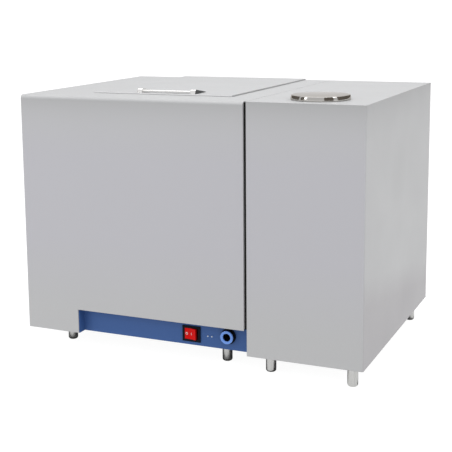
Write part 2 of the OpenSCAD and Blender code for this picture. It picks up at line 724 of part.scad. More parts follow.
module pump_bracket() color(steel) difference() {
    union() {
        block([pump_face - 52, pump_y - 20, base_top], [pump_face - 16, pump_y + 20, pump_z - 14]);
        block([pump_face - 52, pump_y - 34, base_top], [pump_face - 16, pump_y + 34, base_top + 3]);
    }
    rod_x([pump_face - 60, pump_y, pump_z], 27.1, 60);
    for (x = [-44, -24], y = [-27, 27]) rod_z([pump_face + x, pump_y + y, base_top - 1], 2.2, 6);
}

// ---------- hoses and wires ----------

// Hose from the reservoir to the pump's inlet, and the short one from the pump up to the tank
module pump_hoses() color([0.75, 0.78, 0.78]) {
    hose([[pump_face + 26, pump_y, pump_z], [port_x, pump_y, pump_z],
          [port_x, port_y, pump_z], [port_x, port_y, vessel_z - 4]], 22, 7.1);
    pipe_z([pump_face + 12, pump_y, pump_z + 30], 9, 6.1, tank_floor - pump_z - 40);
}

module overflow_hose() color([0.75, 0.78, 0.78])
    hose([[tank_b[0] + 8, link_y + 88, spill_z], [tank_b[0] + 38, link_y + 88, spill_z],
          [tank_b[0] + 38, link_y + 88, link_z], [tank_b[0] + 38, link_y, link_z],
          [port_x - vessel_d / 2 - 2, link_y, link_z]], 13, 6.1);

module mains_wiring() color([0.12, 0.12, 0.12]) for (k = [-1, 1]) {
    z = floor_z + 24;
    x = inlet_x + 3.5 * k;
    y = wire_y - 3.5 * k;
    x1 = switch_x + 6.5 * k;
    bent_rod([[x, in_rear - 26.3, z + 34], [x, in_rear - 50, z + 34], [x, in_rear - 50, z],
              [x, y, z], [x1, y, z], [x1, strip_y + 36.3, z]], 11, 2.2);
}

// ---------- electrics ----------

module fan_frame() color(black) difference() {
    block([fan_x - 40, fan_y, fan_z - 40], [fan_x + 40, in_rear, fan_z + 40]);
    difference() {
        rod_y([fan_x, fan_y - 1, fan_z], 38, fan_depth + 2);
        rod_y([fan_x, fan_y - 2, fan_z], 18, 5);
        for (a = [30, 150, 270]) translate([fan_x, fan_y, fan_z]) rotate([0, a, 0])
            block([10, 0, -2.5], [39, 3, 2.5]);
        rod_y([fan_x, fan_y, fan_z], 1.5, 20);
    }
    for (x = [-1, 1], z = [-1, 1])
        rod_y([fan_x + x * 35.75, fan_y - 1, fan_z + z * 35.75], 2.2, fan_depth + 2);
}

module fan_rotor() color([0.14, 0.14, 0.15]) translate([fan_x, fan_y, fan_z]) difference() {
    union() {
        rod_y([0, 4, 0], 17, 18);
        for (a = [0 : 360 / 7 : 359]) rotate([0, a, 0]) translate([16, 13, 0]) rotate([-50, 0, 0])
            block([0, -0.8, -9], [20.4, 0.8, 9]);
    }
    rod_y([0, 3, 0], 1.6, 18.5);
}

// Wire finger guard outside the fan
module fan_guard() color([0.85, 0.85, 0.85]) translate([fan_x, rear_y + 1.8, fan_z]) {
    for (r = [11, 18, 25, 32, 38.4]) rotate([90, 0, 0]) ring(r, 0.9);
    for (a = [45, 135, 225, 315]) rotate([0, a, 0]) difference() {
        union() {
            translate([10, -1.2, -0.9]) cube([37, 1.2, 1.8]);
            rod_y([50.56, -1.8, 0], 4.2, 2);
        }
        rod_y([50.56, -3, 0], 2.1, 5);
    }
}

module control_board() color([0.10, 0.38, 0.22]) {
    x0 = tower_x + sheet;
    block([x0 + 10, 0, floor_z + 200], [x0 + 11.6, 140, floor_z + 310]);
    for (y = [8, 132], z = [floor_z + 208, floor_z + 302]) rod_x([x0, y, z], 3, 10.1);
    for (p = [[12, 215, 26, 18, 14], [50, 215, 18, 18, 22], [76, 215, 18, 18, 22], [104, 215, 24, 30, 12],
              [14, 250, 34, 34, 4], [66, 260, 40, 22, 16], [116, 262, 16, 40, 10]])
        block([x0 + 11.5, p[0], floor_z + p[1]], [x0 + 11.6 + p[4], p[0] + p[2], floor_z + p[1] + p[3]]);
}

module transformer() color([0.30, 0.30, 0.32]) {
    block([tower_x + 55, 95, base_top], [tower_x + 113, 155, base_top + 3]);
    block([tower_x + 62, 100, base_top + 2.9], [tower_x + 106, 150, base_top + 52]);
    block([tower_x + 55.5, 108, base_top + 12], [tower_x + 112.5, 142, base_top + 42]);
}

module heater_relay() color([0.70, 0.71, 0.72]) {
    block([tower_x + 125, 90, base_top], [tower_x + 175, 150, base_top + 6]);
    for (i = [0 : 5])
        block([tower_x + 126 + i * 9, 90, base_top + 5.9], [tower_x + 129 + i * 9, 150, base_top + 30]);
    block([tower_x + 126, 98, base_top + 29.9], [tower_x + 174, 142, base_top + 52]);
}

// Appliance inlet with earth, line and neutral pins, open to the rear
module inlet_socket() color(black) difference() {
    union() {
        block([inlet_x - 15.5, rear_y, inlet_z - 25], [inlet_x + 15.5, rear_y + 2.4, inlet_z + 25]);
        block([inlet_x - 13.6, in_rear - 26, inlet_z - 23], [inlet_x + 13.6, rear_y + 0.5, inlet_z + 23]);
    }
    difference() {
        along_y(rear_y - 16, rear_y + 3) translate([inlet_x, inlet_z + 9.5])
            polygon([[-12.1, -8.2], [12.1, -8.2], [12.1, 4], [8, 8.2], [-8, 8.2], [-12.1, 4]]);
        for (p = [[-7, 8], [7, 8], [0, 13]])
            block([inlet_x + p[0] - 1, rear_y - 17, inlet_z + p[1] - 3],
                  [inlet_x + p[0] + 1, rear_y - 2, inlet_z + p[1] + 3]);
    }
    block([inlet_x - 11.2, rear_y - 20, inlet_z - 17.5], [inlet_x + 11.2, rear_y + 3, inlet_z - 5.5]);
}

module along_y(y0, y1) translate([0, y1, 0]) rotate([90, 0, 0]) linear_extrude(y1 - y0) children();

module fuse_drawer() color([0.12, 0.12, 0.13]) {
    block([inlet_x - 10.9, rear_y - 19, inlet_z - 17.2], [inlet_x + 10.9, rear_y + 2.2, inlet_z - 5.8]);
    block([inlet_x - 5, rear_y + 2.1, inlet_z - 16.6], [inlet_x + 5, rear_y + 3.6, inlet_z - 14.6]);
}

// ---------- feet and fasteners ----------

module feet() color([0.72, 0.72, 0.72]) for (p = foot_xy) {
    rotate_extrude_at([p[0], p[1], 0]) {
        square([foot_d / 2 - foot_r, foot_h]);
        square_at([0, foot_r], [foot_d / 2, foot_h - foot_r]);
        translate([foot_d / 2 - foot_r, foot_r]) circle(foot_r);
    }
    rod_z([p[0], p[1], foot_h - 0.01], 4, 14);
}

module foot_nuts() color(steel) for (p = foot_xy) difference() {
    translate([p[0], p[1], base_top]) cylinder(r = 7.5, h = 6.5, $fn = 6);
    rod_z([p[0], p[1], base_top - 1], 4.05, 9);
}

// Screws of the rear panels, and the longer ones of the fan
module panel_screws() color(steel) {
    for (x = screw_xs, z = screw_zs) {
        rod_y([x, rear_y, z], 3.8, 2.2);
        rod_y([x, in_rear - 6, z], 1.9, 6 + sheet + 0.01);
    }
    for (x = [-1, 1], z = [-1, 1]) translate([fan_x + x * 35.75, 0, fan_z + z * 35.75]) {
        rod_y([0, rear_y + 2, 0], 3.8, 2.2);
        rod_y([0, fan_y - 3, 0], 1.9, fan_depth + sheet + 5.01);
    }
}

bath_cover();
bath_side_panel();
bath_partition();
bath_rear_panel();
base_tray();
control_strip();
tower_shell();
tower_rear_panel();
tower_base();
joint_strip();
lid_panel();
lid_liner();
lid_insulation();
lid_gasket();
lid_handle();
handle_screws();
hinge_lid_leaves();
hinge_body_leaves();
hinge_pins();
bath_tank();
pipe_ends();
tank_insulation();
perforated_tray();
heater_element();
heater_glands();
temperature_probe();
float_switch_stem();
float_switch_float();
drain_hose();
drain_fitting_body();
drain_fitting_nut();
drain_release_collar();
drain_o_ring();
switch_housing();
switch_rocker();
indicator_lights();
reservoir_vessel();
reservoir_shoulder();
reservoir_collar();
cap_disc();
cap_plug();
cap_o_ring();
pump_motor();
pump_head();
pump_rotor();
pump_bracket();
pump_hoses();
overflow_hose();
fan_frame();
fan_rotor();
fan_guard();
control_board();
transformer();
heater_relay();
mains_wiring();
inlet_socket();
fuse_drawer();
feet();
foot_nuts();
panel_screws();
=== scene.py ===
"""Looks of the laboratory water bath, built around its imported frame."""
import json
import math

import bmesh
import bpy
from mathutils import Euler, Matrix, Vector


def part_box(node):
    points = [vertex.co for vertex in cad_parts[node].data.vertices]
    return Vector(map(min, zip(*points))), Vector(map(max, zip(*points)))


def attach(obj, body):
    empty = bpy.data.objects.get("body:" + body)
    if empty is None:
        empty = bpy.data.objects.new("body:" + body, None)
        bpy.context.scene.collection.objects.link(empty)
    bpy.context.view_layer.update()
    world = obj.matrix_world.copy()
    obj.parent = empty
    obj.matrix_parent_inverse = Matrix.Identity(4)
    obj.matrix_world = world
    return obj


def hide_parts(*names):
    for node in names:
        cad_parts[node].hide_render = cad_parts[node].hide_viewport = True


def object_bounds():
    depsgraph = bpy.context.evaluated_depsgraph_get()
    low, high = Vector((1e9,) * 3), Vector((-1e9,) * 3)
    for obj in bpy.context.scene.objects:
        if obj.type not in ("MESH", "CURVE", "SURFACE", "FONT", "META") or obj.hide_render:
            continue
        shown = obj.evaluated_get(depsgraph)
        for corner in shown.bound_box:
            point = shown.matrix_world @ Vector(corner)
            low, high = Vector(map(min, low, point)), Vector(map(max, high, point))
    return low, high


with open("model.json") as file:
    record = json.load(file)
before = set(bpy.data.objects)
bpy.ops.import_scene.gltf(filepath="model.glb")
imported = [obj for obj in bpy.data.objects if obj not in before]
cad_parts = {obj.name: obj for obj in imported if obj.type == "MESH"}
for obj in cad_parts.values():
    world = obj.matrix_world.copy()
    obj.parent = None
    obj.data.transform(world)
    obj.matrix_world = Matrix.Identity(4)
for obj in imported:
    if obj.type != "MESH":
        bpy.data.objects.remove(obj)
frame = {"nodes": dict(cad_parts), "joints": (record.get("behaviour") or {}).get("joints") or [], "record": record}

cad_low, cad_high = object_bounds()
MM = 0.001


def middle(node):
    """Middle of a node's box, in millimetres."""
    low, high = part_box(node)
    return (low + high) / 2 / MM


# Places and sizes that the modelled pieces are built from, in millimetres
RING_LENGTH = 10.0
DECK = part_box("tower_shell")[1].z / MM
PORT = middle("cap_disc").xy
CAP_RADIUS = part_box("cap_disc")[1].x / MM - PORT.x
FAN = Vector((middle("fan_frame").x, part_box("fan_frame")[0].y / MM, middle("fan_frame").z))
COLLAR = middle("drain_release_collar")
FITTING = Vector((COLLAR.x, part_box("drain_release_collar")[0].y / MM + RING_LENGTH, COLLAR.z))
SWITCH = next(Vector(joint["pos_m"]) / MM for joint in frame["joints"] if joint["name"] == "rocker_tilt")

# ---------------------------------------------------------------- camera and stage, in metres

CAMERA_PLACE = (0.6879, -1.6559, 0.5815)
CAMERA_YAW, CAMERA_PITCH, CAMERA_ROLL = 0.4235, 0.1631, -0.0112
CAMERA_LENS, CAMERA_SENSOR = 82.2, 36.0
CAMERA_SHIFT = (0.046, -0.124)
CAMERA_CLIP = (0.05, 6000.0)
FLOOR_HALF, WALL_HEIGHT, FLOOR_GLOW = 3000.0, 60.0, 0.94
# Strength of the world below and above, and the heights between which it changes
WORLD_BELOW, WORLD_ABOVE = 0.70, 0.78
WORLD_FADE = (-0.4, 0.2)
WORLD_COLOUR = (0.985, 0.985, 1.0, 1)
# Dark cards on a circle around the object: start and end of each, in degrees
FLAGS = ((-55, -25), (-11, 85), (140, 208), (216, 234))
FLAG_RADIUS, FLAG_LOW, FLAG_HIGH = 1.4, 0.42, 1.5
FLAG_STEPS = 12
# Grey card under the object, a painted shade for its feet to reflect: height above the floor and distance behind
# the front
SHADE_LIFT, SHADE_SETBACK = 0.0006, 0.02
# Name, place, aim, size and power of each lamp
LAMPS = (
    ("overhead", (0.0, -0.1, 2.2), (0, 0, 0.3), (2.4, 2.0), 20.5),
    ("front_left", (-2.0, -2.2, 1.3), (0, 0, 0.25), (1.0, 1.0), 9),
    ("right_side", (2.2, -0.6, 1.7), (0, 0, 0.30), (1.0, 0.8), 10.5),
    ("low_front", (-0.5, -1.5, 0.14), (-0.1, -0.2, 0.20), (1.6, 0.25), 1.5),
)


def linked(name, data):
    """A new object of this data, linked into the scene."""
    obj = bpy.data.objects.new(name, data)
    bpy.context.scene.collection.objects.link(obj)
    return obj


def make_camera():
    data = bpy.data.cameras.new("camera")
    data.lens = CAMERA_LENS
    data.sensor_width = CAMERA_SENSOR
    data.shift_x, data.shift_y = CAMERA_SHIFT
    data.clip_start, data.clip_end = CAMERA_CLIP
    camera = linked("camera", data)
    yaw, pitch = CAMERA_YAW, CAMERA_PITCH
    forward = Vector((-math.sin(yaw) * math.cos(pitch), math.cos(yaw) * math.cos(pitch), -math.sin(pitch)))
    turn = forward.to_track_quat("-Z", "Y") @ Euler((0, 0, CAMERA_ROLL)).to_quaternion()
    camera.location = CAMERA_PLACE
    camera.rotation_mode = "QUATERNION"
    camera.rotation_quaternion = turn
    bpy.context.scene.camera = camera


def area_light(name, place, aim, size, power):
    data = bpy.data.lights.new(name, "AREA")
    data.shape = "RECTANGLE"
    data.size, data.size_y = size
    data.energy = power
    light = linked(name, data)
    light.location = place
    light.rotation_mode = "QUATERNION"
    light.rotation_quaternion = (Vector(aim) - Vector(place)).to_track_quat("-Z", "Y")


def make_lights():
    """Soft lamps, and a pale world that is a little brighter above."""
    bpy.context.scene.view_settings.view_transform = "Standard"
    world = bpy.data.worlds.new("studio")
    world.use_nodes = True
    nodes, links = world.node_tree.nodes, world.node_tree.links
    place = nodes.new("ShaderNodeTexCoord")
    split = nodes.new("ShaderNodeSeparateXYZ")
    ramp = nodes.new("ShaderNodeMapRange")
    low, high = WORLD_FADE
    levels = {"From Min": low, "From Max": high, "To Min": WORLD_BELOW, "To Max": WORLD_ABOVE}
    for name, value in levels.items():
        ramp.inputs[name].default_value = value
    links.new(place.outputs["Generated"], split.inputs["Vector"])
    links.new(split.outputs["Z"], ramp.inputs["Value"])
    links.new(ramp.outputs["Result"], nodes["Background"].inputs["Strength"])
    nodes["Background"].inputs["Color"].default_value = WORLD_COLOUR
    bpy.context.scene.world = world
    for lamp in LAMPS:
        area_light(*lamp)


def make_floor():
    """Floor and far walls that glow nearly white and send no light back to the object's matt faces."""
    corners = ((-1, -1), (1, -1), (1, 1), (-1, 1))
    rims = [(x * FLOOR_HALF, y * FLOOR_HALF, z) for z in (0.0, WALL_HEIGHT) for x, y in corners]
    walls = [(i, (i + 1) % 4, (i + 1) % 4 + 4, i + 4) for i in range(4)]
    mesh = bpy.data.meshes.new("floor")
    mesh.from_pydata(rims, [], [(0, 1, 2, 3)] + walls)
    paint = Look("floor_paint", (0.20, 0.20, 0.20), 0.9)
    paint.tint(paint.between(paint.noise(3, 2), 0.0, 0.2, 0.4, 0.7), (0.22, 0.22, 0.22))
    paint.set("Emission Color", (1, 1, 1, 1))
    paint.set("Emission Strength", FLOOR_GLOW)
    paint.set("Specular IOR Level", 0.1)
    mesh.materials.append(paint.material)
    floor = linked("floor", mesh)
    floor.visible_diffuse = False


def make_card(name, points, faces, colour):
    """A dull card that only mirror-like surfaces see."""
    paint = bpy.data.materials.new(name + "_paint")
    paint.use_nodes = True
    shader = paint.node_tree.nodes["Principled BSDF"]
    shader.inputs["Base Color"].default_value = (*colour, 1)
    shader.inputs["Roughness"].default_value = 0.9
    mesh = bpy.data.meshes.new(name)
    mesh.from_pydata(points, [], faces)
    mesh.materials.append(paint)
    card = linked(name, mesh)
    card.visible_camera = card.visible_shadow = card.visible_diffuse = False
    card.visible_transmission = card.visible_volume_scatter = False


def make_flags():
    """Dark curved cards around the object, for its polished metal to reflect."""
    for start, end in FLAGS:
        turns = [math.radians(start + (end - start) * i / FLAG_STEPS) for i in range(FLAG_STEPS + 1)]
        rim = [(FLAG_RADIUS * math.cos(turn), FLAG_RADIUS * math.sin(turn)) for turn in turns]
        points = [(x, y, z) for x, y in rim for z in (FLAG_LOW, FLAG_HIGH)]
        faces = [(2 * i, 2 * i + 2, 2 * i + 3, 2 * i + 1) for i in range(FLAG_STEPS)]
        make_card("flag_%d" % start, points, faces, (0.15, 0.13, 0.11))


def make_under_shade():
    """Grey card on the floor under the object, standing for the shade there, for its feet to reflect."""
    (left, front, _), (right, back, _) = cad_low, cad_high
    outline = ((left, front + SHADE_SETBACK), (right, front + SHADE_SETBACK), (right, back), (left, back))
    make_card("under_shade", [(x, y, SHADE_LIFT) for x, y in outline], [(0, 1, 2, 3)], (0.13, 0.13, 0.13))


# ---------------------------------------------------------------- materials


class Look:
    """A procedural material: a Principled shader and short ways to drive its inputs."""

    def __init__(self, name, colour, roughness, metallic=0.0):
        self.material = bpy.data.materials.new(name)
        self.material.use_nodes = True
        self.tree = self.material.node_tree
        self.shader = self.tree.nodes["Principled BSDF"]
        self.colour = (*colour, 1)
        self.set("Base Color", self.colour)
        self.set("Roughness", roughness)
        self.set("Metallic", metallic)
        coordinates = self.tree.nodes.new("ShaderNodeTexCoord")
        self.place = coordinates.outputs["Object"]
        self.facing = coordinates.outputs["Normal"]

    def set(self, name, value):
        self.shader.inputs[name].default_value = value

    def link(self, out, into):
        self.tree.links.new(out, into)

    def node(self, kind, **values):
        made = self.tree.nodes.new(kind)
        for key, value in values.items():
            setattr(made, key, value)
        return made

    def parts(self, vector):
        """The X, Y and Z outputs of a vector."""
        made = self.node("ShaderNodeSeparateXYZ")
        self.link(vector, made.inputs["Vector"])
        return made.outputs["X"], made.outputs["Y"], made.outputs["Z"]

    def stretched(self, stretch):
        mapping = self.node("ShaderNodeMapping")
        mapping.inputs["Scale"].default_value = stretch
        self.link(self.place, mapping.inputs["Vector"])
        return mapping.outputs["Vector"]

    def noise(self, scale, detail, stretch=None, distortion=0.0):
        made = self.node("ShaderNodeTexNoise")
        made.inputs["Scale"].default_value = scale
        made.inputs["Detail"].default_value = detail
        made.inputs["Distortion"].default_value = distortion
        self.link(self.stretched(stretch) if stretch else self.place, made.inputs["Vector"])
        return made.outputs["Fac"]

    def spots(self, scale, stretch=None):
        made = self.node("ShaderNodeTexVoronoi")
        made.inputs["Scale"].default_value = scale
        self.link(self.stretched(stretch) if stretch else self.place, made.inputs["Vector"])
        return made.outputs["Distance"]

    def between(self, value, low, high, start=0.0, end=1.0):
        made = self.node("ShaderNodeMapRange", clamp=True)
        made.inputs["From Min"].default_value = start
        made.inputs["From Max"].default_value = end
        made.inputs["To Min"].default_value = low
        made.inputs["To Max"].default_value = high
        self.link(value, made.inputs["Value"])
        return made.outputs["Result"]

    def soften(self, width):
        """Bends the normals near sharp edges, as a small radius would."""
        bevel = self.node("ShaderNodeBevel", samples=6)
        bevel.inputs["Radius"].default_value = width
        self.link(bevel.outputs["Normal"], self.shader.inputs["Normal"])

    def edges(self, width):
        """1 along sharp edges, 0 on open faces."""
        bevel = self.node("ShaderNodeBevel", samples=4)
        bevel.inputs["Radius"].default_value = width
        face = self.node("ShaderNodeNewGeometry")
        dot = self.node("ShaderNodeVectorMath", operation="DOT_PRODUCT")
        self.link(bevel.outputs["Normal"], dot.inputs[0])
        self.link(face.outputs["Normal"], dot.inputs[1])
        return self.between(dot.outputs["Value"], 1.0, 0.0, 0.80, 0.995)

    def times(self, a, b):
        made = self.node("ShaderNodeMath", operation="MULTIPLY", use_clamp=True)
        self.link(a, made.inputs[0])
        if isinstance(b, (int, float)):
            made.inputs[1].default_value = b
        else:
            self.link(b, made.inputs[1])
        return made.outputs["Value"]

    def tint(self, mask, colour):
        """Mixes colour over what the base colour is now, where mask is 1."""
        socket = self.shader.inputs["Base Color"]
        mix = self.node("ShaderNodeMix", data_type="RGBA")
        if socket.is_linked:
            self.link(socket.links[0].from_socket, mix.inputs["A"])
        else:
            mix.inputs["A"].default_value = self.colour
        mix.inputs["B"].default_value = (*colour, 1)
        self.link(mask, mix.inputs["Factor"])
        self.link(mix.outputs["Result"], socket)

    def rough(self, value, low, high, start=0.3, end=0.7):
        self.link(self.between(value, low, high, start, end), self.shader.inputs["Roughness"])

    def bump(self, height, distance, strength):
        made = self.node("ShaderNodeBump")
        made.inputs["Strength"].default_value = strength
        made.inputs["Distance"].default_value = distance
        self.link(height, made.inputs["Height"])
        normal = self.shader.inputs["Normal"]
        if normal.is_linked:
            self.link(normal.links[0].from_socket, made.inputs["Normal"])
        self.link(made.outputs["Normal"], normal)


# Painted light on the casing's upright sheets, as parts of its colour, and the heights where it fades: painted
# shade under the top edge, a painted bluer light tint across the middle of the fronts, and painted shade low on
# the right side
TOP_EDGE, TOP_FADE, TOP_SHADE = DECK * MM, 0.070, 0.84
BELT_START, BELT_END = (0.07, 0.19), (0.33, 0.43)
BELT_LIGHT_TINT = (0.995, 0.985, 1.035)
SIDE_LINE, SIDE_SLOPE = (0.093, 0.140), 0.15
SIDE_REFLECTION_SHADE = (0.884, 0.862, 0.875)
# Top of the control strip under the sheet above it, and the depths below that where its shade fades
SHEET = 1.5
STRIP_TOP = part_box("control_strip")[1].z - SHEET * MM
STRIP_FADE = (0.0035, 0.001)
HANDLE_MIDDLE = middle("lid_handle").x * MM
BRUSH_SCALE = 22.5


def shade(colour, factor):
    return tuple(min(1.0, c * factor) for c in colour)


def toned(colour, factors):
    return tuple(c * factor for c, factor in zip(colour, factors))


def powder_coat(name, colour, peel=0.00006):
    """Baked powder paint: orange peel, a faint drift of tone, rubbed edges."""
    look = Look(name, colour, 0.50)
    look.set("Specular IOR Level", 0.3)
    look.soften(0.0008)
    look.tint(look.between(look.noise(3.5, 3), 0.0, 0.5, 0.35, 0.75), shade(colour, 0.95))
    look.tint(look.between(look.noise(420, 2), 0.0, 0.35, 0.45, 0.75), shade(colour, 1.06))
    rubbed = look.between(look.noise(60, 3), 0.0, 0.5, 0.45, 0.7)
    look.tint(look.times(look.edges(0.0012), rubbed), shade(colour, 1.18))
    look.rough(look.noise(9, 4), 0.44, 0.58)
    look.bump(look.noise(650, 1), peel, 0.6)
    return look


def casing_paint(name, colour):
    """Powder coat with painted shade and a painted light tint on its upright sheets."""
    look = powder_coat(name, colour)
    _, along, up = look.parts(look.place)
    face_x, face_y, face_z = look.parts(look.facing)
    upright = look.between(face_z, 1.0, 0.0, 0.0, 0.5)
    # Painted shade under the top edge of the upright sheets, deepest at the top
    top_shade_mask = look.between(up, 0.0, 1.0, TOP_EDGE - TOP_FADE, TOP_EDGE)
    look.tint(look.times(look.times(top_shade_mask, top_shade_mask), upright), shade(colour, TOP_SHADE))
    # Painted light tint: a slightly bluer band across the middle of the front faces
    front = look.between(face_y, 1.0, 0.0, -0.9, -0.5)
    light_tint_band = look.times(look.between(up, 0.0, 1.0, *BELT_START), look.between(up, 1.0, 0.0, *BELT_END))
    look.tint(look.times(front, light_tint_band), toned(colour, BELT_LIGHT_TINT))
    # Painted darker reflection on the right-facing faces, below a line that falls towards the back
    slanted = look.node("ShaderNodeMath", operation="MULTIPLY_ADD")
    look.link(along, slanted.inputs[0])
    slanted.inputs[1].default_value = SIDE_SLOPE
    look.link(up, slanted.inputs[2])
    low = look.between(slanted.outputs["Value"], 1.0, 0.0, *SIDE_LINE)
    right = look.between(face_x, 0.0, 1.0, 0.5, 0.9)
    look.tint(look.times(low, right), toned(colour, SIDE_REFLECTION_SHADE))
    return look


def lid_highlight_paint(name, colour):
    """The casing's paint, with a painted highlight along the lid's front edge."""
    look = casing_paint(name, colour)
    _, face_y, _ = look.parts(look.facing)
    # Painted highlight: light grey on the lid's faces that look forward
    look.tint(look.between(face_y, 1.0, 0.0, -0.9, -0.4), (0.86, 0.86, 0.86))
    return look


def strip_paint(name, colour):
    """Satin blue paint, darker where the casing above keeps the light off its top."""
    look = powder_coat(name, colour, peel=0.00003)
    _, _, up = look.parts(look.place)
    sheltered = look.between(up, 0.0, 0.65, STRIP_TOP - STRIP_FADE[0], STRIP_TOP - STRIP_FADE[1])
    look.tint(sheltered, shade(colour, 0.25))
    return look


def brushed(name, colour, along=(1, 40, 40), roughness=0.30):
    """Satin metal with a brushed grain that runs along the axis with the small number."""
    look = Look(name, colour, roughness, 1.0)
    grain = look.noise(BRUSH_SCALE, 3, along)
    look.tint(look.between(grain, 0.0, 0.6, 0.3, 0.8), shade(colour, 0.82))
    look.tint(look.between(look.noise(11, 4), 0.0, 0.4, 0.45, 0.8), shade(colour, 1.12))
    look.rough(grain, roughness - 0.07, roughness + 0.10)
    look.bump(grain, 0.00003, 0.5)
    return look.material


def polished(name, colour, grazing=(0.86, 0.83, 0.79)):
    """Bright polished steel with faint wipe marks and a few hairline scratches."""
    look = Look(name, colour, 0.06, 1.0)
    look.set("Specular Tint", (*grazing, 1))
    look.soften(0.0006)
    wipes = look.noise(14, 5, (1, 3, 3), 0.6)
    look.tint(look.between(wipes, 0.0, 0.35, 0.5, 0.8), shade(colour, 0.9))
    scratch = look.noise(55, 2, (1, 30, 30))
    look.rough(wipes, 0.04, 0.15, 0.35, 0.8)
    look.bump(look.between(scratch, 0.0, 1.0, 0.62, 0.70), 0.00001, 0.3)
    return look


def handle_steel(name, colour):
    """Polished handle with a painted dark reflection on its outward end faces."""
    look = polished(name, colour, (1.0, 1.0, 1.0))
    across, _, _ = look.parts(look.place)
    face_x, _, _ = look.parts(look.facing)
    side = look.between(across, -1.0, 1.0, HANDLE_MIDDLE - 0.001, HANDLE_MIDDLE + 0.001)
    outward = look.times(side, face_x)
    # Painted dark reflection: near-black colour on the end faces that look away from the handle's middle
    look.tint(look.between(outward, 0.0, 1.0, 0.80, 0.95), (0.07, 0.07, 0.07))
    return look


def moulded(name, colour, roughness, gloss=0.5, wear=0.15):
    """Moulded plastic: fine spark grain, slight tone drift, rubbed edges."""
    look = Look(name, colour, roughness)
    look.set("Specular IOR Level", gloss)
    look.soften(0.0004)
    look.tint(look.between(look.noise(18, 3), 0.0, 0.4, 0.4, 0.8), shade(colour, 0.75))
    look.tint(look.times(look.edges(0.0006), 0.35), tuple(c + wear * (1 - c) for c in colour))
    look.rough(look.noise(30, 3), roughness - 0.06, roughness + 0.10)
    look.bump(look.noise(900, 1), 0.00003, 0.5)
    return look.material


def rubber(name, colour):
    look = Look(name, colour, 0.7)
    look.set("Specular IOR Level", 0.2)
    look.tint(look.between(look.noise(25, 4), 0.0, 0.5, 0.4, 0.8), tuple(c * 1.2 + 0.006 for c in colour))
    look.rough(look.noise(60, 3), 0.58, 0.85)
    look.bump(look.noise(700, 2), 0.00005, 0.5)
    return look.material


def wool(name, colour):
    """Mineral wool: matted fibres with darker tufts."""
    look = Look(name, colour, 0.95)
    fibres = look.noise(160, 6, (1, 5, 2), 1.5)
    look.tint(look.between(fibres, 0.0, 0.8, 0.35, 0.7), shade(colour, 0.62))
    look.tint(look.between(look.noise(30, 5), 0.0, 0.5, 0.5, 0.8), shade(colour, 1.15))
    look.bump(fibres, 0.0012, 0.9)
    return look.material


def zinc(name, colour):
    """Zinc plate: cloudy spangle and a faint yellow and blue passivation."""
    look = Look(name, colour, 0.38, 1.0)
    spangle = look.spots(60)
    look.tint(look.between(spangle, 0.0, 0.5, 0.1, 0.7), shade(colour, 0.8))
    look.tint(look.between(look.noise(9, 3), 0.0, 0.25, 0.5, 0.8), (0.66, 0.60, 0.42))
    look.tint(look.between(look.noise(6, 3), 0.0, 0.18, 0.6, 0.8), (0.50, 0.58, 0.70))
    look.rough(spangle, 0.30, 0.48, 0.0, 0.6)
    look.bump(look.noise(300, 3), 0.00003, 0.5)
    return look.material


def lit_rocker(name, colour):
    """Clear red rocker with a lamp behind it, with painted shade on the faces that turn sideways: deeper red and a
    weaker glow there.
    """
    look = Look(name, colour, 0.30)
    look.set("Specular IOR Level", 0.06)
    look.tint(look.between(look.noise(90, 3), 0.0, 0.4, 0.4, 0.8), shade(colour, 0.7))
    look.rough(look.noise(120, 3), 0.26, 0.38)
    look.bump(look.noise(500, 2), 0.00002, 0.4)
    _, face_y, _ = look.parts(look.facing)
    # Painted shade: deeper red and less glow where the faces turn away from the front
    edge = look.between(face_y, 0.0, 1.0, -0.85, -0.3)
    look.tint(edge, shade(colour, 0.6))
    look.set("Emission Color", (1.0, 0.02, 0.01, 1))
    look.link(look.between(edge, 0.12, 0.04), look.shader.inputs["Emission Strength"])
    return look.material


def lamp_lens(name, colour):
    look = Look(name, colour, 0.12)
    look.tint(look.between(look.noise(300, 2), 0.0, 0.4, 0.4, 0.8), shade(colour, 0.85))
    look.rough(look.noise(200, 2), 0.08, 0.22)
    look.set("Emission Color", (0.9, 0.95, 1.0, 1))
    look.set("Emission Strength", 0.08)
    return look.material


def hose_rubber(name, colour):
    """Milky silicone hose."""
    look = Look(name, colour, 0.35)
    look.tint(look.between(look.noise(40, 4), 0.0, 0.5, 0.4, 0.8), shade(colour, 0.8))
    look.rough(look.noise(80, 3), 0.28, 0.45)
    look.bump(look.noise(260, 2), 0.00006, 0.5)
    look.set("Subsurface Weight", 0.25)
    look.set("Subsurface Radius", (0.004, 0.004, 0.004))
    return look.material


def circuit_board(name, colour):
    look = Look(name, colour, 0.35)
    look.tint(look.between(look.spots(260, (1, 1, 0.4)), 0.0, 0.8, 0.30, 0.36), shade(colour, 1.9))
    look.tint(look.between(look.spots(520), 1.0, 0.0, 0.05, 0.09), (0.70, 0.66, 0.55))
    look.rough(look.noise(90, 3), 0.28, 0.45)
    look.bump(look.spots(260, (1, 1, 0.4)), 0.00005, 0.4)
    return look.material


def heater_sheath(name, colour):
    """Oxidised sheath of a tubular heater, with lime scale in patches."""
    look = Look(name, colour, 0.45, 1.0)
    look.tint(look.between(look.noise(35, 5), 0.0, 0.8, 0.4, 0.7), (0.18, 0.13, 0.10))
    look.tint(look.between(look.noise(70, 5), 0.0, 0.7, 0.58, 0.66), (0.62, 0.58, 0.50))
    look.rough(look.noise(50, 4), 0.32, 0.65)
    look.bump(look.noise(240, 4), 0.00012, 0.6)
    return look.material


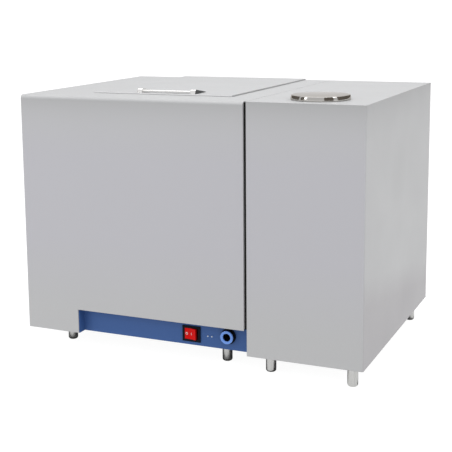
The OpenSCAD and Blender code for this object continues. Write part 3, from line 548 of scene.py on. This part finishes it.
CASING_GREY = (0.519, 0.522, 0.523)
MATERIALS = {
    "casing_paint": lambda: casing_paint("casing_paint", CASING_GREY).material,
    "lid_highlight_paint": lambda: lid_highlight_paint("lid_highlight_paint", CASING_GREY).material,
    "strip_paint": lambda: strip_paint("strip_paint", (0.041, 0.108, 0.305)).material,
    "motor_paint": lambda: powder_coat("motor_paint", (0.10, 0.11, 0.13)).material,
    "zinc_steel": lambda: zinc("zinc_steel", (0.62, 0.63, 0.63)),
    "stainless": lambda: brushed("stainless", (0.64, 0.635, 0.625)),
    "heatsink_aluminium": lambda: brushed("heatsink_aluminium", (0.62, 0.63, 0.64), (40, 1, 40), 0.35),
    "polished_steel": lambda: polished("polished_steel", (0.53, 0.515, 0.49)).material,
    "handle_steel": lambda: handle_steel("handle_steel", (0.92, 0.91, 0.89)).material,
    "turned_steel": lambda: brushed("turned_steel", (0.49, 0.49, 0.48), (40, 40, 1), 0.30),
    "brass_fitting": lambda: brushed("brass_fitting", (0.62, 0.45, 0.18), (40, 1, 1), 0.28),
    "heater_alloy": lambda: heater_sheath("heater_alloy", (0.34, 0.31, 0.29)),
    "black_rubber": lambda: rubber("black_rubber", (0.006, 0.006, 0.006)),
    "pale_rubber": lambda: rubber("pale_rubber", (0.52, 0.52, 0.49)),
    "wool_mat": lambda: wool("wool_mat", (0.72, 0.66, 0.48)),
    "white_plastic": lambda: moulded("white_plastic", (0.78, 0.77, 0.72), 0.42),
    "black_plastic": lambda: moulded("black_plastic", (0.004, 0.005, 0.009), 0.40, gloss=0.08, wear=0.04),
    "blue_plastic": lambda: moulded("blue_plastic", (0.15, 0.33, 0.83), 0.28),
    "red_plastic": lambda: lit_rocker("red_plastic", (0.56, 0.003, 0.004)),
    "lens_white": lambda: lamp_lens("lens_white", (0.55, 0.60, 0.70)),
    "hose_rubber": lambda: hose_rubber("hose_rubber", (0.55, 0.57, 0.55)),
    "board_green": lambda: circuit_board("board_green", (0.02, 0.13, 0.06)),
}

# Nodes whose paint differs a little from their slot's: the lid's carries a painted highlight
NODE_LOOKS = {"lid_panel": "lid_highlight_paint"}


def dress_nodes():
    """Gives every CAD node the material of its slot in the record; returns all the materials."""
    made = {slot: build() for slot, build in MATERIALS.items()}
    for part in frame["record"]["subparts"]:
        data = frame["nodes"][part["node"]].data
        data.materials.clear()
        data.materials.append(made[NODE_LOOKS.get(part["node"], part["material_slot"])])
    return made


# ---------------------------------------------------------------- modelled pieces, in millimetres


def finished(name, bm, material, body, sharp=32):
    """Turns a bmesh in millimetres into a piece that rides a body."""
    bmesh.ops.scale(bm, vec=(MM, MM, MM), verts=bm.verts)
    bmesh.ops.recalc_face_normals(bm, faces=bm.faces)
    for face in bm.faces:
        face.smooth = True
    for edge in bm.edges:
        if len(edge.link_faces) != 2 or edge.calc_face_angle(0) > math.radians(sharp):
            edge.smooth = False
    mesh = bpy.data.meshes.new(name)
    bm.to_mesh(mesh)
    bm.free()
    mesh.materials.append(material)
    piece = linked(name, mesh)
    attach(piece, body)
    return piece


def lathe(bm, profile, segments, place):
    """Closed outline of (radius, height) points, turned about Z of place."""
    rows = []
    for radius, height in profile:
        if radius == 0:
            rows.append([bm.verts.new(place @ Vector((0, 0, height)))])
        else:
            rows.append([bm.verts.new(place @ Vector((radius * math.cos(a), radius * math.sin(a), height)))
                         for a in (2 * math.pi * i / segments for i in range(segments))])
    for one, two in zip(rows, rows[1:] + rows[:1]):
        if len(one) == 1 and len(two) == 1:
            continue
        for i in range(segments):
            j = (i + 1) % segments
            loop = [one[i % len(one)], one[j % len(one)], two[j % len(two)], two[i % len(two)]]
            bm.faces.new(list(dict.fromkeys(loop)))


# Reservoir cap. Its side bows on CAP_BOW until it leans CAP_LEAN degrees, then turns over on CAP_EDGE
CAP_LEAN, CAP_BOW, CAP_EDGE = 16.0, 22.0, 1.05
# Heights above the deck of its under side, of the foot of its side and of the plate inside it
CAP_UNDER, CAP_FOOT, CAP_PLATE = 0.45, 0.75, 5.6
CAP_LIP = 1.8
CAP_STEPS = 8


def reservoir_cap(made):
    """Spun cap with a flat top, a gently bowed side and a small edge radius."""
    inner = CAP_RADIUS - CAP_LIP
    profile = [(inner, CAP_UNDER), (CAP_RADIUS - 0.3, CAP_UNDER), (CAP_RADIUS, CAP_FOOT)]
    lean = math.radians(CAP_LEAN)
    for step in range(1, CAP_STEPS + 1):
        turn = lean * step / CAP_STEPS
        profile.append((CAP_RADIUS - CAP_BOW * (1 - math.cos(turn)), CAP_FOOT + CAP_BOW * math.sin(turn)))
    shoulder, height = profile[-1]
    for step in range(1, CAP_STEPS + 1):
        turn = lean + (math.pi / 2 - lean) * step / CAP_STEPS
        profile.append((shoulder + CAP_EDGE * (math.cos(turn) - math.cos(lean)),
                        height + CAP_EDGE * (math.sin(turn) - math.sin(lean))))
    top = profile[-1][1]
    profile += [(0, top), (0, CAP_PLATE), (inner - 0.8, CAP_PLATE), (inner, CAP_PLATE - 1)]
    bm = bmesh.new()
    lathe(bm, profile, 160, Matrix.Translation((PORT.x, PORT.y, DECK)))
    piece = finished("cap_spun", bm, made["polished_steel"], "reservoir_cap")
    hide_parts("cap_disc")


# The rocker's tilt at rest, in degrees, and the print on it
ROCKER_TILT = -9
MARK_INNER, MARK_OUTER, MARK_DEPTH = 1.25, 2.0, 0.05
BAR_WIDTH = 0.9
# Name, place along and out from the rocker's pivot, and slope of the face there
ROCKER_MARKS = (("rocker_mark_ring", -6.9, -7.86, 1.1 / 6.7), ("rocker_mark_bar", 1.4, -7.12, -0.3 / 3.5))


def rocker_marks(made):
    """White ring and bar printed on the rocker's face."""
    tilted = Matrix.Translation(SWITCH) @ Matrix.Rotation(math.radians(ROCKER_TILT), 4, "Z")
    upright = Matrix.Rotation(math.radians(90), 4, "X")
    for name, along, out, slope in ROCKER_MARKS:
        sloped = Matrix.Translation((along, out, 0)) @ Matrix.Rotation(math.atan(slope), 4, "Z")
        face = tilted @ sloped @ upright
        bm = bmesh.new()
        if "ring" in name:
            ring = [(MARK_INNER, 0), (MARK_OUTER, 0), (MARK_OUTER, MARK_DEPTH), (MARK_INNER, MARK_DEPTH)]
            lathe(bm, ring, 40, face)
        else:
            size = Matrix.Diagonal((BAR_WIDTH, 2 * MARK_OUTER, MARK_DEPTH, 1))
            raised = Matrix.Translation((0, 0, MARK_DEPTH / 2))
            bmesh.ops.create_cube(bm, size=1.0, matrix=face @ raised @ size)
        finished(name, bm, made["mark_print"], "rocker")


RING_INNER, RING_OUTER, RING_BACK = 6.5, 10.8, 7.7
SLEEVE_INNER, SLEEVE_OUTER, SLEEVE_FRONT = 6.3, 11.6, RING_BACK - 0.05


def release_collar(made):
    """Release collar of the drain fitting: a blue front ring on a black sleeve."""
    # Radius, and distance out from FITTING, which lies RING_LENGTH behind the collar's front
    ring = [(RING_INNER, RING_BACK), (10.6, RING_BACK), (RING_OUTER, RING_BACK + 0.3),
            (RING_OUTER, 9.3), (10.65, 9.7), (10.3, 9.93), (9.9, RING_LENGTH),
            (7.2, RING_LENGTH), (6.75, 9.9), (RING_INNER, 9.5)]
    sleeve = [(SLEEVE_INNER, 0.51), (8.3, 0.51), (8.3, 5.5), (11.2, 5.5), (SLEEVE_OUTER, 5.8),
              (SLEEVE_OUTER, 7.2), (11.2, SLEEVE_FRONT), (SLEEVE_INNER, SLEEVE_FRONT)]
    outward = Matrix.Translation(FITTING) @ Matrix.Rotation(math.radians(90), 4, "X")
    rings = {"release_ring": (ring, "blue_plastic"), "release_sleeve": (sleeve, "black_plastic")}
    for name, (outline, slot) in rings.items():
        bm = bmesh.new()
        lathe(bm, outline, 96, outward)
        piece = finished(name, bm, made[slot], "release_collar")
        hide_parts("drain_release_collar")


SCREW_RADIUS, SCREW_HEIGHT, SHANK_RADIUS, SHANK_TAPER = 3.8, 2.2, 1.85, 0.6
SCREW_RINGS, SCREW_STEPS = 11, 48
# The cross recess: reach and half width as parts of the head's radius, depth as a part of its height,
# and how far its end and side walls slope
RECESS_REACH, RECESS_HALF, RECESS_DEPTH = 0.62, 0.17, 0.65
END_SLOPE, SIDE_WALL = 0.25, 0.12


def clamped(value):
    return max(min(1.0, value), 0.0)


def head_height(x, y):
    """Height of a screw's head above its seat: a pan with a cross sunk into it."""
    out = math.hypot(x, y) / SCREW_RADIUS
    pan = SCREW_HEIGHT * (1 - 0.45 * out ** 2 - 0.35 * out ** 8)
    lengthwise = clamped((RECESS_REACH * SCREW_RADIUS - max(abs(x), abs(y))) / END_SLOPE)
    crosswise = clamped((RECESS_HALF * SCREW_RADIUS - min(abs(x), abs(y))) / SIDE_WALL)
    return pan - RECESS_DEPTH * SCREW_HEIGHT * lengthwise * crosswise


def add_screw(bm, place, length):
    """Cross-recess screw whose head points along +Z of place, with a shank of this length."""
    turns = [2 * math.pi * k / SCREW_STEPS for k in range(SCREW_STEPS)]
    rings = []
    for i in range(1, SCREW_RINGS + 1):
        radius = SCREW_RADIUS * i / SCREW_RINGS
        flat = [(radius * math.cos(turn), radius * math.sin(turn)) for turn in turns]
        rings.append([(x, y, head_height(x, y)) for x, y in flat])
    for radius, z in ((SCREW_RADIUS, 0.0), (SHANK_RADIUS, 0.0), (SHANK_RADIUS, SHANK_TAPER - length),
                      (SHANK_RADIUS - SHANK_TAPER, -length)):
        rings.append([(radius * math.cos(turn), radius * math.sin(turn), z) for turn in turns])
    rows = [[bm.verts.new(place @ Vector(point)) for point in ring] for ring in rings]
    centre = bm.verts.new(place @ Vector((0, 0, head_height(0, 0))))
    for k in range(SCREW_STEPS):
        bm.faces.new((centre, rows[0][k], rows[0][(k + 1) % SCREW_STEPS]))
    for one, two in zip(rows, rows[1:]):
        for k in range(SCREW_STEPS):
            j = (k + 1) % SCREW_STEPS
            bm.faces.new((one[k], two[k], two[j], one[j]))
    bm.faces.new(rows[-1][::-1])


def islands(node):
    """Boxes (low, high), in millimetres, of a node's separate solids."""
    bm = bmesh.new()
    bm.from_mesh(frame["nodes"][node].data)
    bm.transform(frame["nodes"][node].matrix_world)
    bmesh.ops.remove_doubles(bm, verts=bm.verts, dist=1e-6)
    left = set(bm.verts)
    found = []
    while left:
        group, waiting = set(), [next(iter(left))]
        while waiting:
            vert = waiting.pop()
            if vert in group:
                continue
            group.add(vert)
            waiting.extend(edge.other_vert(vert) for edge in vert.link_edges)
        left -= group
        points = [v.co / MM for v in group]
        found.append((Vector([min(p[i] for p in points) for i in range(3)]),
                      Vector([max(p[i] for p in points) for i in range(3)])))
    bm.free()
    return sorted(found, key=lambda box: (round(box[0].x), round(box[0].z)))


def rear_screws(made):
    """Cross-recess screws in the places of the plain ones, each turned a little further."""
    bm = bmesh.new()
    outward = Matrix.Rotation(math.radians(-90), 4, "X")
    for index, (low, high) in enumerate(islands("panel_screws")):
        seat = high.y - SCREW_HEIGHT
        place = Matrix.Translation(((low.x + high.x) / 2, seat, (low.z + high.z) / 2))
        spin = Matrix.Rotation(math.radians(37 * index), 4, "Z")
        add_screw(bm, place @ outward @ spin, seat - low.y)
    piece = finished("rear_panel_screws", bm, made["zinc_steel"], "cabinet", 40)
    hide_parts("panel_screws")


# Fan wheel. Heights are above the inner face of the fan's frame
FAN_HUB = ((1.6, 4.0), (16.2, 4.0), (17.0, 4.8), (17.0, 20.4), (16.4, 21.4), (15.2, 21.9), (1.6, 22.0))
BLADES, BLADE_ROOT, BLADE_TIP, BLADE_HEIGHT = 7, 16.6, 36.3, 13
# Pitch in degrees and chord, each at the root and how much it changes out to the tip
PITCH_ROOT, PITCH_CHANGE = 38, -14
CHORD_ROOT, CHORD_CHANGE = 17, 2.5
CAMBER, HALF_THICK, EDGE_THICK = 1.3, 0.75, 0.12
BLADE_SWEEP = 0.16
STEPS_OUT, STEPS_ACROSS = 8, 10


def blade_point(start, side, out, across):
    """Point of a blade's upper (side 1) or lower (side -1) face: out runs from 0 at the root to 1 at
    the tip, across from -0.5 to 0.5 over the chord."""
    radius = BLADE_ROOT + (BLADE_TIP - BLADE_ROOT) * out
    pitch = math.radians(PITCH_ROOT + PITCH_CHANGE * out)
    u = across * (CHORD_ROOT + CHORD_CHANGE * out)
    thick = HALF_THICK * (1 - abs(2 * across) ** 3) + EDGE_THICK
    w = CAMBER * (1 - 4 * across * across) + side * thick
    turn = start + (u * math.cos(pitch) - w * math.sin(pitch)) / radius + BLADE_SWEEP * out
    height = BLADE_HEIGHT + u * math.sin(pitch) + w * math.cos(pitch)
    return Vector((radius * math.cos(turn), radius * math.sin(turn), height))


def add_blade(bm, base, start):
    sheets = []
    for side in (1, -1):
        rows = []
        for i in range(STEPS_OUT + 1):
            points = [blade_point(start, side, i / STEPS_OUT, k / STEPS_ACROSS - 0.5)
                      for k in range(STEPS_ACROSS + 1)]
            rows.append([bm.verts.new(base @ point) for point in points])
        sheets.append(rows)
    top, bottom = sheets
    for i in range(STEPS_OUT):
        for k in range(STEPS_ACROSS):
            bm.faces.new((top[i][k], top[i][k + 1], top[i + 1][k + 1], top[i + 1][k]))
            bm.faces.new((bottom[i][k], bottom[i + 1][k], bottom[i + 1][k + 1], bottom[i][k + 1]))
        for k in (0, STEPS_ACROSS):
            bm.faces.new((top[i][k], top[i + 1][k], bottom[i + 1][k], bottom[i][k]))
    for i in (0, STEPS_OUT):
        for k in range(STEPS_ACROSS):
            bm.faces.new((top[i][k], top[i][k + 1], bottom[i][k + 1], bottom[i][k]))


def fan_blades(made):
    """Fan wheel with curved, twisted blades on a hub with rounded edges."""
    bm = bmesh.new()
    base = Matrix.Translation(FAN) @ Matrix.Rotation(math.radians(-90), 4, "X")
    lathe(bm, FAN_HUB, 96, base)
    for blade in range(BLADES):
        add_blade(bm, base, 2 * math.pi * blade / BLADES)
    piece = finished("fan_wheel", bm, made["black_plastic"], "fan")
    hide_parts("fan_rotor")


make_camera()
make_floor()
make_flags()
make_under_shade()
make_lights()
materials = dress_nodes()
materials["mark_print"] = moulded("mark_print", (0.86, 0.85, 0.83), 0.5)
reservoir_cap(materials)
rocker_marks(materials)
release_collar(materials)
rear_screws(materials)
fan_blades(materials)
